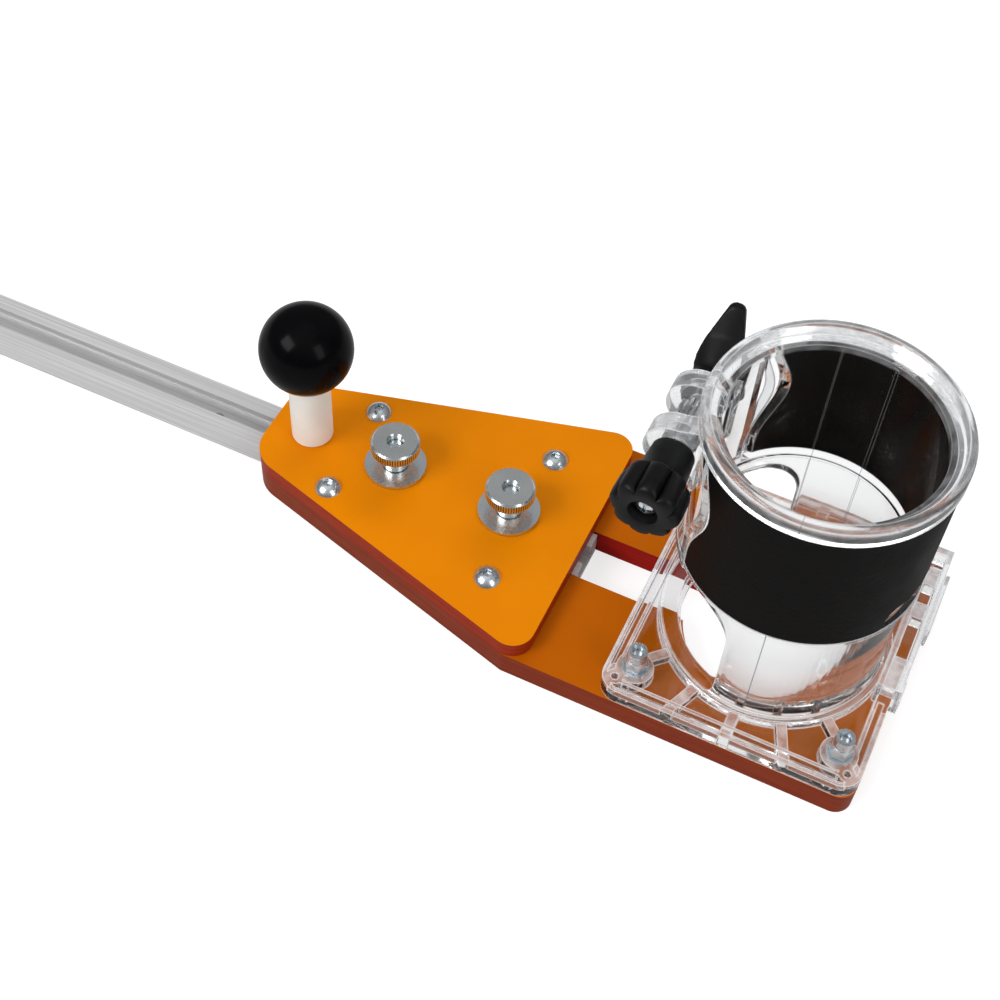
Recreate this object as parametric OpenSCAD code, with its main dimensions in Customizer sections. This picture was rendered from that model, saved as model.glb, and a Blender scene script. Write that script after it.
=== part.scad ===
// Router circle cutting jig.
// A laminate sandwich carries a clear trim router base at one end and runs along a T-track rail.
// The rail pivots about a pin near its far end, and two thumb nuts lock the radius.
// Millimetres, +Z up, z = 0 on the workpiece, origin on the router's axis, rail along -X.

/* [Rail] */
// Width across the rail's two side walls
rail_w = 19; // [17.5:0.5:21]
// Height of the rail
rail_h = 9.5; // [8.8:0.1:9.8]
// Length of the rail
rail_l = 400; // [320:10:600]
// Mouth of the T-slot between its two lips
slot_mouth = 7.4; // [6:0.2:8.4]
// Width of the T-slot under its lips
slot_under = 13; // [11:0.2:14]
// Thickness of the rail's floor
rail_floor = 2.2; // [1.6:0.1:2.6]
// Thickness of the two lips
rail_lip = 2.6; // [2:0.1:3]
// First pivot hole, measured from the router end of the rail
hole_first = 147; // [120:1:200]
// Distance between pivot holes
hole_pitch = 118; // [60:1:120]
// Diameter of the pivot pin's shank
pin_d = 4; // [3:0.1:4.6]

/* [Plates] */
// Thickness of the lower plate
lower_t = 10; // [10:0.2:13]
// Thickness of the upper plate
upper_t = 6.4; // [5:0.2:9]
// Width of the lower plate under the router
body_w = 98.8; // [96:0.4:110]
// Distance from the router axis to the rail end of both plates
tail_end = 189.5; // [186:0.5:215]
// Width of both plates at the tail
tail_w = 36; // [34:0.5:44]
// Distance from the router axis to the shoulders, where the slanted edges start
shoulder_x = 77; // [74:0.5:84]
// Distance from the router axis to the upper plate's router end
upper_end = 69.3; // [66:0.5:75]
// Radius of the tail corners
tail_r = 13; // [9:0.5:15]
// Radius of the upper plate's corners at the router end
upper_r = 7.5; // [4:0.5:11]
// Radius of the lower plate's corners at the router end
lower_r = 6; // [3:0.5:9]
// Sliding clearance on each side of the rail
slide_gap = 0.5; // [0.2:0.1:0.8]
// Radius of the bit opening in the lower plate
bit_r = 30; // [26:0.5:33]

/* [Plate fasteners] */
// Diameter of the four button screws
screw_d = 5; // [4:0.5:6]
// Diameter of their domed heads
button_d = 9.5; // [9:0.1:11]
// Height of their domed heads
button_h = 2.75; // [2.2:0.05:3.4]
// Distance of the tail pair from the router axis
screw_x1 = 158; // [154:0.5:162]
// Distance of the tail pair from the slanted edges, across the rail
screw_in1 = 7.9; // [7.2:0.1:9]
// Distance of the router end pair from the router axis
screw_x2 = 92.6; // [88:0.5:96]
// Distance of the router end pair from the slanted edges, across the rail
screw_in2 = 17.2; // [11:0.2:19]

/* [Rail locks] */
// Diameter of the two T-bolts
bolt_d = 5; // [4:0.2:6]
// Distance of the tail T-bolt from the router axis
lock_x1 = 141.5; // [139:0.5:146]
// Distance of the router end T-bolt from the router axis
lock_x2 = 97.7; // [94:0.5:104]
// Diameter of the large flat washers
washer_d = 21.6; // [19:0.2:24]
// Thickness of the large flat washers
washer_t = 1.6; // [1:0.1:2]
// Diameter of the knurled discs on the thumb nuts
disc_d = 17.4; // [15:0.2:20]
// Thickness of the knurled discs
disc_t = 4.6; // [3.5:0.1:6]
// Diameter of the collars below the discs
collar_d = 9; // [8:0.2:11]
// Height of the collars
collar_h = 7.8; // [6:0.2:10]
// Number of knurl ridges round a disc
knurls = 60; // [36:4:72]

/* [Handle] */
// Diameter of the ball knob
ball_d = 32; // [28:0.5:36]
// Distance of the handle from the router axis
handle_x = 174.5; // [173:0.5:175.5]
// Diameter of the white spacer sleeve
spacer_d = 14.6; // [13:0.2:17]
// Height of the spacer sleeve
spacer_h = 30; // [24:0.5:45]
// Diameter of the handle's countersunk bolt
stud_d = 6; // [5:0.5:6]

/* [Router base] */
// Diameter of the router motor that the base clamps
motor_d = 65; // [63:0.5:66]
// Length of the base plate along the rail
base_l = 88; // [86:0.5:88]
// Thickness of the base plate with its ribs
base_h = 6.5; // [5:0.1:8]
// Thickness of the base plate's floor
base_floor = 2.6; // [2:0.1:3.4]
// Thickness of the barrel wall
barrel_wall = 3.7; // [3.1:0.1:4.3]
// Height of the barrel's top above the base plate's underside
barrel_h = 111; // [106:0.5:120]
// How far the thick rim stands out from the barrel wall
rim_out = 3; // [2.6:0.1:4]
// Height of the thick rim
rim_h = 7; // [5:0.5:9]
// Distance from the sleeve's lower edge down to the chip window's top
window_gap = 6.5; // [6:0.5:12]
// Half width of the split
split_half = 1.4; // [1:0.1:2]
// Distance of the base nuts from the base plate's ends
nut_in_x = 9.2; // [8.4:0.1:10]
// Distance of the base nuts from the lower plate's sides
nut_in_y = 11.4; // [10.4:0.1:12.4]
// Thickness of a base nut's flange
nut_flange_t = 1.3; // [1:0.1:1.6]
// Height of its hexagon
nut_hex_h = 4.8; // [4:0.1:6]
// Height of its round locking collar
nut_collar_h = 4.1; // [3:0.1:5]
// Diameter of the base screws
base_screw_d = 4; // [3:0.5:5]

/* [Grip sleeve] */
// Thickness of the rubber sleeve
sleeve_t = 2.3; // [1.5:0.1:2.6]
// Height of the sleeve
sleeve_h = 50.5; // [44:0.5:52]
// Half width of the sleeve's opening at its two ends
opening_end = 25; // [23:0.5:26]
// Extra half width of the opening level with the clamp
opening_bulge = 5; // [0:0.5:7]
// Half width of the notch in the sleeve's lower edge
notch_half = 22.5; // [16:0.5:26]
// Height of that notch
notch_h = 8.5; // [5:0.5:12]

/* [Clamp and depth drive] */
// Distance of the clamp shaft from the barrel's outside
clamp_out = 5.8; // [5:0.2:8]
// Distance of the clamp shaft below the barrel's top
clamp_drop = 25; // [23:0.5:28]
// Radius of the lugs round the shaft
lug_r = 10; // [9:0.5:12]
// Thickness of each lug
lug_t = 7; // [5:0.5:9]
// Half width of the gap between the lugs
lug_gap = 5.8; // [5:0.2:7]
// Diameter of the shaft
shaft_d = 6; // [5:0.5:7]
// Number of pinion teeth
pinion_teeth = 10; // [8:1:14]
// Diameter over the lobes of the depth knob
knob_d = 25; // [22:0.5:30]
// Length of the lobed part of the depth knob
knob_l = 15; // [12:0.5:20]
// Length of the depth knob's collar
collar_len = 10; // [8:0.5:14]
// Number of lobes on the depth knob
knob_lobes = 8; // [6:1:9]
// Distance from tip to tip of the wing nut
wing_span = 40; // [36:1:42]

/* [Hidden] */
$fn = 96;

// clearances
eps = 0.01;
run = 0.05;
hole_gap = 0.25;
seat_gap = 0.1;

// levels
top_z = lower_t + upper_t;
disc_z = top_z + washer_t + collar_h;
ball_z = top_z + spacer_h + sqrt(ball_d * ball_d / 4 - spacer_d * spacer_d / 4);
base_top = lower_t + base_h;
rim_z = lower_t + barrel_h;
shaft_z = rim_z - clamp_drop;
sleeve_z = rim_z - rim_h - sleeve_h;
window_top = sleeve_z - window_gap;

// radii and places of the router base
motor_r = motor_d / 2;
barrel_r = motor_r + barrel_wall;
rim_r = barrel_r + rim_out;
sleeve_r = barrel_r + sleeve_t;
clamp_x = barrel_r + clamp_out;
body_end = base_l / 2;
nut_x = base_l / 2 - nut_in_x;
nut_y = body_w / 2 - nut_in_y;
fence_start = -12.5;
fence_end = body_w / 2 - 0.9;
floor_open_r = bit_r + 1;
foot_r = barrel_r + 2.6;
foot_h = 5;
nut_flange_r = base_screw_d / 2 + 2.9;
screw_recess = 4;
shaft_front = -(lug_gap + lug_t + collar_len + knob_l - screw_recess);
shaft_back = lug_gap + lug_t + 13;

// rail
rail_router_end = -(upper_end - 1.5);
rail_tail_end = rail_router_end - rail_l;
pivot_x = rail_router_end - hole_first - 2 * hole_pitch;
pin_r = pin_d / 2;
pin_lift = 6;
pin_tip = 0.3;
t_head_t = rail_h - rail_floor - rail_lip - 0.9;
t_head_z = rail_h - rail_lip - seat_gap - t_head_t;

// half width of the plates at a distance d from the router axis
slant = (body_w - tail_w) / 2 / (tail_end - shoulder_x);
function slant_y(d) = body_w / 2 + slant * (shoulder_x - d);
screw_y1 = slant_y(screw_x1) - screw_in1;
screw_y2 = slant_y(screw_x2) - screw_in2;

// one corner of an outline replaced by the two ends of its fillet
function unit(v) = v / norm(v);
function fillet_t(a, p, b, r) =
  let (u = unit(a - p), v = unit(b - p), half = acos(u * v) / 2) r / tan(half);
function fillet_c(a, p, b, r) =
  let (u = unit(a - p), v = unit(b - p), half = acos(u * v) / 2)
  p + unit(u + v) * r / sin(half);

// outline with rounded outward corners: pts in order, one radius for each
module rounded_outline(pts, radii) {
  n = len(pts);
  ends = [for (i = [0 : n - 1])
    let (p = pts[i], a = pts[(i + n - 1) % n], b = pts[(i + 1) % n], r = radii[i])
    if (r > 0) each [p + unit(a - p) * fillet_t(a, p, b, r), p + unit(b - p) * fillet_t(a, p, b, r)]
    else p];
  polygon(ends);
  for (i = [0 : n - 1]) {
    if (radii[i] > 0) {
      translate(fillet_c(pts[(i + n - 1) % n], pts[i], pts[(i + 1) % n], radii[i]))
        circle(r = radii[i]);
    }
  }
}

// both plates share their slanted edges and tail
module tail_outline(front_pts, front_radii) {
  y_tail = slant_y(tail_end);
  mirrored = [for (i = [len(front_pts) - 1 : -1 : 0]) [front_pts[i][0], -front_pts[i][1]]];
  radii_back = [for (i = [len(front_radii) - 1 : -1 : 0]) front_radii[i]];
  rounded_outline(
    concat([[-tail_end, -y_tail]], front_pts, mirrored, [[-tail_end, y_tail]]),
    concat([tail_r], front_radii, radii_back, [tail_r]));
}

module plate_screw_places() {
  for (s = [-1, 1]) {
    translate([-screw_x1, s * screw_y1, 0])
      children();
    translate([-screw_x2, s * screw_y2, 0])
      children();
  }
}

module base_nut_places() {
  for (sx = [-1, 1], sy = [-1, 1]) {
    translate([sx * nut_x, sy * nut_y, 0])
      children();
  }
}

module lock_places() {
  for (x = [-lock_x1, -lock_x2]) {
    translate([x, 0, 0])
      children();
  }
}

// flat headed screw head and the seat that takes it, small end up
module countersink(r_head, r_hole) {
  cylinder(r1 = r_head, r2 = r_hole, h = r_head - r_hole);
}

// disc with n ridges round it between two plain bevels that stay inside the grooves
module knurled_disc(r, h, n, depth, bevel) {
  core = r - depth - 0.05;
  translate([0, 0, bevel])
    linear_extrude(h - 2 * bevel)
      polygon([for (i = [0 : 2 * n - 1])
        let (rr = i % 2 == 0 ? r : r - depth, a = 180 * i / n) [rr * cos(a), rr * sin(a)]]);
  rotate_extrude()
    polygon([[0, 0], [core - bevel, 0], [core, bevel], [core, h - bevel],
      [core - bevel, h], [0, h]]);
}

module lower_plate() {
  color([0.76, 0.38, 0.02])
  difference() {
    linear_extrude(lower_t)
      tail_outline(
        [[-shoulder_x, -body_w / 2], [body_end, -body_w / 2]], [3, lower_r]);
    // the channel that the rail slides in runs on into the bit opening
    translate([-tail_end - 1, -rail_w / 2 - slide_gap, -1])
      cube([tail_end + 1, rail_w + 2 * slide_gap, lower_t + 2]);
    translate([0, 0, -1])
      cylinder(r = bit_r, h = lower_t + 2);
    plate_screw_places()
      translate([0, 0, -1])
        cylinder(r = screw_d / 2 + run, h = lower_t + 2);
    base_nut_places() {
      translate([0, 0, -1])
        cylinder(r = base_screw_d / 2 + hole_gap, h = lower_t + 2);
      translate([0, 0, -eps])
        countersink(base_screw_d + hole_gap, base_screw_d / 2 + hole_gap);
    }
  }
}

module upper_plate() {
  color([0.9, 0.5, 0])
  translate([0, 0, lower_t])
    difference() {
      linear_extrude(upper_t)
        tail_outline([[-upper_end, -slant_y(upper_end)]], [upper_r]);
      plate_screw_places()
        translate([0, 0, -1])
          cylinder(r = screw_d / 2 + hole_gap, h = upper_t + 2);
      lock_places()
        translate([0, 0, -1])
          cylinder(r = bolt_d / 2 + hole_gap, h = upper_t + 2);
      translate([-handle_x, 0, 0]) {
        translate([0, 0, -1])
          cylinder(r = stud_d / 2 + hole_gap, h = upper_t + 2);
        translate([0, 0, -eps])
          countersink(stud_d + hole_gap, stud_d / 2 + hole_gap);
      }
    }
}

// button head with a hexagon socket, shank down to the lower plate's underside
module plate_screws() {
  socket = screw_d * 0.6;
  dome_r = (button_d * button_d / 4 + button_h * button_h) / (2 * button_h);
  color([0.75, 0.75, 0.77])
  plate_screw_places()
    translate([0, 0, top_z]) {
      difference() {
        intersection() {
          cylinder(r = button_d / 2, h = button_h);
          translate([0, 0, button_h - dome_r])
            sphere(r = dome_r);
        }
        translate([0, 0, button_h - 1.6])
          cylinder(d = socket / cos(30), h = 2, $fn = 6);
      }
      translate([0, 0, -upper_t - lower_t + 1])
        cylinder(r = screw_d / 2, h = upper_t + lower_t - 1 + eps);
    }
}

// extruded T-track, cut to length, with pivot holes drilled through its floor
module rail() {
  color([0.78, 0.78, 0.8])
  difference() {
    translate([rail_tail_end, 0, 0])
      rotate([90, 0, 90])
        linear_extrude(rail_l)
          difference() {
            translate([-rail_w / 2, 0])
              square([rail_w, rail_h]);
            translate([-slot_mouth / 2, rail_floor])
              square([slot_mouth, rail_h]);
            translate([-slot_under / 2, rail_floor])
              square([slot_under, rail_h - rail_floor - rail_lip]);
          }
    for (i = [0 : 2])
      translate([rail_router_end - hole_first - i * hole_pitch, 0, -1])
        cylinder(r = pin_r + run, h = rail_floor + 2);
  }
}

// pin with a knurled head: it is pushed down into the workpiece until the head meets the rail
module pivot_pin() {
  head_r = slot_mouth / 2 + 2.6;
  head_h = 8;
  head_z = rail_h + pin_lift;
  color([0.6, 0.6, 0.62])
  translate([pivot_x, 0, 0]) {
    translate([0, 0, pin_tip + 1])
      cylinder(r = pin_r, h = head_z - pin_tip - 1 + eps);
    translate([0, 0, pin_tip])
      cylinder(r1 = pin_r - 0.8, r2 = pin_r, h = 1);
    translate([0, 0, head_z])
      knurled_disc(head_r, head_h, 40, 0.35, 0.8);
  }
}

// square headed bolt whose head hooks under the rail's lips
module t_bolt() {
  head_w = slot_under - 0.8;
  color([0.72, 0.72, 0.74]) {
    translate([-bolt_d * 0.8, -head_w / 2, t_head_z])
      cube([bolt_d * 1.6, head_w, t_head_t]);
    translate([0, 0, t_head_z + t_head_t - eps])
      cylinder(r = bolt_d / 2, h = disc_z + disc_t - 2.5 - t_head_z - t_head_t);
  }
}

module t_bolt_tail() {
  translate([-lock_x1, 0, 0])
    t_bolt();
}

module t_bolt_router() {
  translate([-lock_x2, 0, 0])
    t_bolt();
}

module lock_washer() {
  color([0.8, 0.8, 0.82])
  translate([0, 0, top_z])
    difference() {
      cylinder(r = washer_d / 2, h = washer_t);
      translate([0, 0, -1])
        cylinder(r = bolt_d / 2 + hole_gap, h = washer_t + 2);
    }
}

module lock_washer_tail() {
  translate([-lock_x1, 0, 0])
    lock_washer();
}

module lock_washer_router() {
  translate([-lock_x2, 0, 0])
    lock_washer();
}

// knurled disc on a smooth collar, tapped right through
module thumb_nut() {
  color([0.8, 0.8, 0.82])
  difference() {
    union() {
      translate([0, 0, top_z + washer_t])
        rotate_extrude()
          polygon([[0, 0], [collar_d / 2 - 0.4, 0], [collar_d / 2, 0.4],
            [collar_d / 2, collar_h + eps], [0, collar_h + eps]]);
      translate([0, 0, disc_z])
        knurled_disc(disc_d / 2, disc_t, knurls, 0.3, 0.6);
    }
    translate([0, 0, top_z + washer_t - 1])
      cylinder(r = bolt_d / 2 + run, h = collar_h + disc_t + 2);
    translate([0, 0, disc_z + disc_t - 0.5])
      cylinder(r1 = bolt_d / 2 + run, r2 = bolt_d / 2 + run + 0.6, h = 0.6);
  }
}

module thumb_nut_tail() {
  translate([-lock_x1, 0, 0])
    thumb_nut();
}

module thumb_nut_router() {
  translate([-lock_x2, 0, 0])
    thumb_nut();
}

// countersunk bolt from the upper plate's underside, through the spacer, into the knob
module knob_bolt() {
  color([0.7, 0.7, 0.72])
  translate([-handle_x, 0, lower_t]) {
    countersink(stud_d, stud_d / 2);
    translate([0, 0, stud_d / 2 - eps])
      cylinder(r = stud_d / 2, h = upper_t + spacer_h + 10 - stud_d / 2);
  }
}

module knob_spacer() {
  r = spacer_d / 2;
  edge = 0.6;
  color([0.96, 0.96, 0.94])
  translate([-handle_x, 0, top_z])
    difference() {
      rotate_extrude()
        polygon([[0, 0], [r - edge, 0], [r, edge], [r, spacer_h - edge],
          [r - edge, spacer_h], [0, spacer_h]]);
      translate([0, 0, -1])
        cylinder(r = stud_d / 2 + hole_gap, h = spacer_h + 2);
    }
}

// ball with a flat foot, bored for its threaded insert
module ball_knob() {
  color([0.03, 0.03, 0.03])
  translate([-handle_x, 0, 0])
    difference() {
      translate([0, 0, ball_z])
        sphere(r = ball_d / 2);
      translate([-ball_d, -ball_d, top_z + spacer_h - ball_d])
        cube([2 * ball_d, 2 * ball_d, ball_d]);
      translate([0, 0, top_z + spacer_h - 1])
        cylinder(r = stud_d / 2 + 2 + run, h = 14);
    }
}

module knob_insert() {
  color([0.8, 0.62, 0.25])
  translate([-handle_x, 0, top_z + spacer_h])
    difference() {
      cylinder(r = stud_d / 2 + 2, h = 12);
      translate([0, 0, -1])
        cylinder(r = stud_d / 2 + run, h = 14);
    }
}

// half width of the sleeve's opening at height z, widest level with the clamp shaft
function opening_y(z) =
  let (span = rim_z - rim_h - sleeve_z, mid = shaft_z - 2)
  opening_end + opening_bulge * pow(cos(min(90, abs(z - mid) * 180 / span)), 2);

// side view of that opening, drawn in Y and Z, drawn in by a margin
module opening_profile(margin) {
  z0 = sleeve_z + margin - 4;
  z1 = rim_z - rim_h;
  steps = 18;
  right = [for (i = [0 : steps])
    let (z = z0 + (z1 - z0) * i / steps) [opening_y(z) - margin, z]];
  left = [for (i = [steps : -1 : 0])
    let (z = z0 + (z1 - z0) * i / steps) [-(opening_y(z) - margin), z]];
  polygon(concat(right, left));
}

// the same shape cut through the rail side of the barrel
module opening_block(margin) {
  translate([-sleeve_r - 5, 0, 0])
    rotate([90, 0, 90])
      linear_extrude(sleeve_r + 5 - 8)
        opening_profile(margin);
}

module ring(r_out, r_in, z, h) {
  translate([0, 0, z])
    difference() {
      cylinder(r = r_out, h = h);
      translate([0, 0, -1])
        cylinder(r = r_in, h = h + 2);
    }
}

// ribbed sole: floor, border, inner frame and spokes that run out from the barrel
module base_sole() {
  rib_w = 1.6;
  rib_z = base_h;
  module slab(inset, h) {
    x = base_l / 2 - inset;
    y = body_w / 2 - 0.2 - inset;
    r = max(7 - inset, 2);
    linear_extrude(h)
      rounded_outline([[-x, -y], [x, -y], [x, y], [-x, y]], [r, r, r, r]);
  }
  module frame(inset, w, h) {
    difference() {
      slab(inset, h);
      translate([0, 0, -1])
        slab(inset + w, h + 2);
    }
  }
  slab(0, base_floor);
  frame(0, rib_w, rib_z);
  frame(3.6, rib_w - 0.4, rib_z);
  intersection() {
    slab(1, rib_z);
    for (a = [-67.5, -90, -112.5, 67.5, 90, 112.5, -45, -135, 45, 135])
      rotate([0, 0, a])
        translate([barrel_r - 1, -1.7, 0])
          cube([40, 3.4, rib_z - 0.8]);
  }
  cylinder(r = foot_r, h = rib_z);
  base_nut_places()
    cylinder(r = 6.2, h = rib_z);
  // corner pads with the moulding's small holes
  for (sx = [-1, 1], sy = [-1, 1])
    translate([sx * (base_l / 2 - 4.6), sy * (body_w / 2 - 5.4), 0])
      cylinder(r = 2.8, h = rib_z);
}

// channel along the sole's far side that holds the straight fence
module fence_channel() {
  x0 = base_l / 2 - 6;
  lip = 1.6;
  wall_h = 13;
  translate([x0, fence_start, 0])
    cube([body_end - x0 + 2, fence_end - fence_start, wall_h]);
  translate([body_end + 1, fence_end - 32.5, 1])
    cube([lip + 1, 24, wall_h - 3.5]);
  translate([x0, fence_start, 0])
    cube([body_end - x0 + 2.6, 8, wall_h - 5]);
}

// slot for the fence's bar, open at both ends, and the windows in its roof
module fence_cuts() {
  bar_w = 5.2;
  bar_h = 4.6;
  bar_x = base_l / 2 - 4.5;
  translate([bar_x, fence_start - 5.5, 3])
    cube([bar_w, fence_end - fence_start + 7, bar_h]);
  for (w = [[0, 17], [23.5, 8], [fence_end - 9.5, 6.5]])
    translate([bar_x + 0.5, w[0], 5])
      cube([bar_w - 1, w[1], 13]);
}

module lugs() {
  reach = lug_gap + lug_t;
  module web() {
    // round end about the shaft, blended into the barrel above and below
    circle(r = lug_r);
    polygon([[0, -lug_r], [0, lug_r], [clamp_x - 20, lug_r + 7], [clamp_x - 20, -lug_r - 9]]);
  }
  translate([-clamp_x, 0, shaft_z])
    rotate([90, 0, 0])
      for (s = [-1, 1])
        translate([0, 0, s > 0 ? lug_gap : -reach])
          linear_extrude(lug_t)
            web();
}

// everything that the moulding leaves open, the same for its sole, barrel and lugs
module base_cuts() {
  window_z = base_top + 1;
  window_x = 9.4;
  corner = 12;
  // bore for the motor with its lead-in, and the narrower opening in the floor
  translate([0, 0, lower_t + base_floor])
    cylinder(r = motor_r, h = barrel_h);
  translate([0, 0, rim_z - 5])
    cylinder(r1 = motor_r, r2 = rim_r - 2.6, h = 5 + eps);
  translate([0, 0, lower_t - 1])
    cylinder(r = floor_open_r, h = base_floor + 2);
  // chip window on the rail side, with rounded upper corners
  translate([0, barrel_r + 20, 0])
    rotate([90, 0, 0])
      linear_extrude(2 * barrel_r + 40)
        rounded_outline(
          [[-60, window_z], [-window_x, window_z], [-window_x, window_top], [-60, window_top]],
          [0, 3, corner, 0]);
  // split through the rim and barrel, wider between the lugs for the pinion
  translate([-60, -split_half, window_top - 1])
    cube([60, 2 * split_half, barrel_h]);
  translate([-60, -lug_gap, shaft_z - lug_r + 1])
    cube([60 - motor_r + 6, 2 * lug_gap, 2 * lug_r - 2]);
  // shaft hole
  translate([-clamp_x, 30, shaft_z])
    rotate([90, 0, 0])
      cylinder(r = shaft_d / 2 + run, h = 60);
}

// sole of the clear moulding, with the fence channel
module router_base() {
  color([0.86, 0.9, 0.92, 0.35])
  difference() {
    translate([0, 0, lower_t]) {
      base_sole();
      fence_channel();
    }
    base_cuts();
    translate([0, 0, base_top])
      cylinder(r1 = foot_r, r2 = barrel_r, h = foot_h);
    translate([0, 0, base_top])
      cylinder(r = barrel_r, h = barrel_h);
    translate([0, 0, lower_t]) {
      fence_cuts();
      base_nut_places()
        translate([0, 0, -1])
          cylinder(r = base_screw_d / 2 + hole_gap, h = base_h + 2);
    }
    // room for a socket round each nut
    translate([0, 0, base_top])
      base_nut_places()
        cylinder(r = nut_flange_r + 0.6, h = 20);
    for (sx = [-1, 1], sy = [-1, 1])
      translate([sx * (base_l / 2 - 4.6), sy * (body_w / 2 - 5.4), lower_t + base_floor])
        cylinder(r = 1.2, h = base_h);
  }
}

// barrel with a flared foot, the beads round the sleeve and the thick rim
module base_barrel() {
  bead = 3.4;
  bead_r = sleeve_r + 0.2;
  color([0.86, 0.9, 0.92, 0.35])
  difference() {
    union() {
      translate([0, 0, base_top])
        cylinder(r = barrel_r, h = rim_z - base_top - 1);
      translate([0, 0, base_top])
        cylinder(r1 = foot_r, r2 = barrel_r, h = foot_h);
      translate([0, 0, sleeve_z - bead])
        cylinder(r1 = barrel_r, r2 = bead_r, h = bead / 2);
      translate([0, 0, sleeve_z - bead / 2])
        cylinder(r = bead_r, h = bead / 2 - seat_gap);
      translate([0, 0, rim_z - rim_h + seat_gap])
        cylinder(r = rim_r, h = rim_h - seat_gap - 2);
      translate([0, 0, rim_z - 2])
        rotate_extrude()
          translate([rim_r - 2, 0])
            circle(r = 2);
      translate([0, 0, rim_z - 2 - eps])
        cylinder(r = rim_r - 2, h = 2 + eps);
      // bead along both edges of the sleeve's opening
      intersection() {
        ring(bead_r, barrel_r - 1, sleeve_z - bead, rim_z - rim_h - sleeve_z + bead);
        difference() {
          opening_block(seat_gap);
          opening_block(bead);
        }
      }
    }
    base_cuts();
  }
}

// the two lugs that the clamp shaft draws together, each grown from the barrel's wall
module clamp_lugs() {
  color([0.86, 0.9, 0.92, 0.35])
  difference() {
    lugs();
    translate([0, 0, base_top])
      cylinder(r = barrel_r, h = barrel_h);
    base_cuts();
  }
}

// rubber band round the barrel, open towards the clamp
module grip_sleeve() {
  color([0.04, 0.04, 0.04])
  difference() {
    ring(sleeve_r, barrel_r + eps, sleeve_z, rim_z - rim_h - sleeve_z);
    opening_block(0);
    translate([0, 0, sleeve_z - 1])
      rotate([90, 0, 90])
        linear_extrude(barrel_r + 10)
          rounded_outline(
            [[-notch_half, 0], [notch_half, 0], [notch_half - 3, notch_h + 1], [3 - notch_half, notch_h + 1]],
            [0, 0, 3, 3]);
  }
}

// steel shaft with the pinion between the lugs and a thread at the wing nut's end
module pinion_shaft() {
  tooth = 1.3;
  pinion_r = shaft_d / 2 + 2.4;
  half_w = lug_gap - 0.3;
  color([0.35, 0.35, 0.36])
  translate([-clamp_x, 0, shaft_z])
    rotate([-90, 0, 0]) {
      translate([0, 0, shaft_front])
        cylinder(r = shaft_d / 2, h = shaft_back - shaft_front);
      translate([0, 0, -half_w])
        linear_extrude(2 * half_w)
          difference() {
            circle(r = pinion_r);
            for (i = [0 : pinion_teeth - 1])
              rotate(360 * (i + 0.5) / pinion_teeth)
                translate([pinion_r, 0])
                  circle(r = tooth * 0.8);
          }
    }
}

// lobed knob pressed on the shaft, with a recess for its screw
module depth_knob() {
  collar_l = collar_len - seat_gap;
  lobe_r = knob_d * 0.13;
  z_collar = lug_gap + lug_t + seat_gap;
  color([0.03, 0.03, 0.03])
  translate([-clamp_x, 0, shaft_z])
    rotate([90, 0, 0])
      translate([0, 0, z_collar])
        difference() {
          union() {
            cylinder(r1 = 6.8, r2 = 7.8, h = collar_l + eps);
            translate([0, 0, collar_l])
              intersection() {
                linear_extrude(knob_l) {
                  circle(r = knob_d / 2 - lobe_r);
                  for (i = [0 : knob_lobes - 1])
                    rotate(360 * i / knob_lobes)
                      translate([knob_d / 2 - lobe_r, 0])
                        circle(r = lobe_r);
                }
                rotate_extrude()
                  polygon([[0, 0], [knob_d / 2 - 3, 0], [knob_d / 2, 2.4],
                    [knob_d / 2, knob_l - 1.4], [knob_d / 2 - 1.4, knob_l], [0, knob_l]]);
              }
          }
          translate([0, 0, -1])
            cylinder(r = shaft_d / 2, h = collar_l + knob_l - screw_recess + 1 + seat_gap);
          translate([0, 0, collar_l + knob_l - screw_recess])
            cylinder(r = 4.6, h = screw_recess + 1);
        }
}

// cross recessed screw that holds the knob on its shaft
module knob_screw() {
  head_r = 3.8;
  head_h = 2.4;
  z_head = -shaft_front;
  dome_r = (head_r * head_r + head_h * head_h) / (2 * head_h);
  color([0.6, 0.6, 0.62])
  translate([-clamp_x, 0, shaft_z])
    rotate([90, 0, 0])
      translate([0, 0, z_head])
        difference() {
          intersection() {
            cylinder(r = head_r, h = head_h);
            translate([0, 0, head_h - dome_r])
              sphere(r = dome_r);
          }
          for (a = [0, 90])
            rotate([0, 0, a])
              translate([-2.1, -0.5, head_h - 1.3])
                cube([4.2, 1, 2]);
        }
}

module clamp_washer() {
  color([0.7, 0.7, 0.72])
  translate([-clamp_x, lug_gap + lug_t, shaft_z])
    rotate([-90, 0, 0])
      difference() {
        cylinder(r = 6.4, h = 1.2);
        translate([0, 0, -1])
          cylinder(r = shaft_d / 2 + hole_gap, h = 3.2);
      }
}

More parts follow.
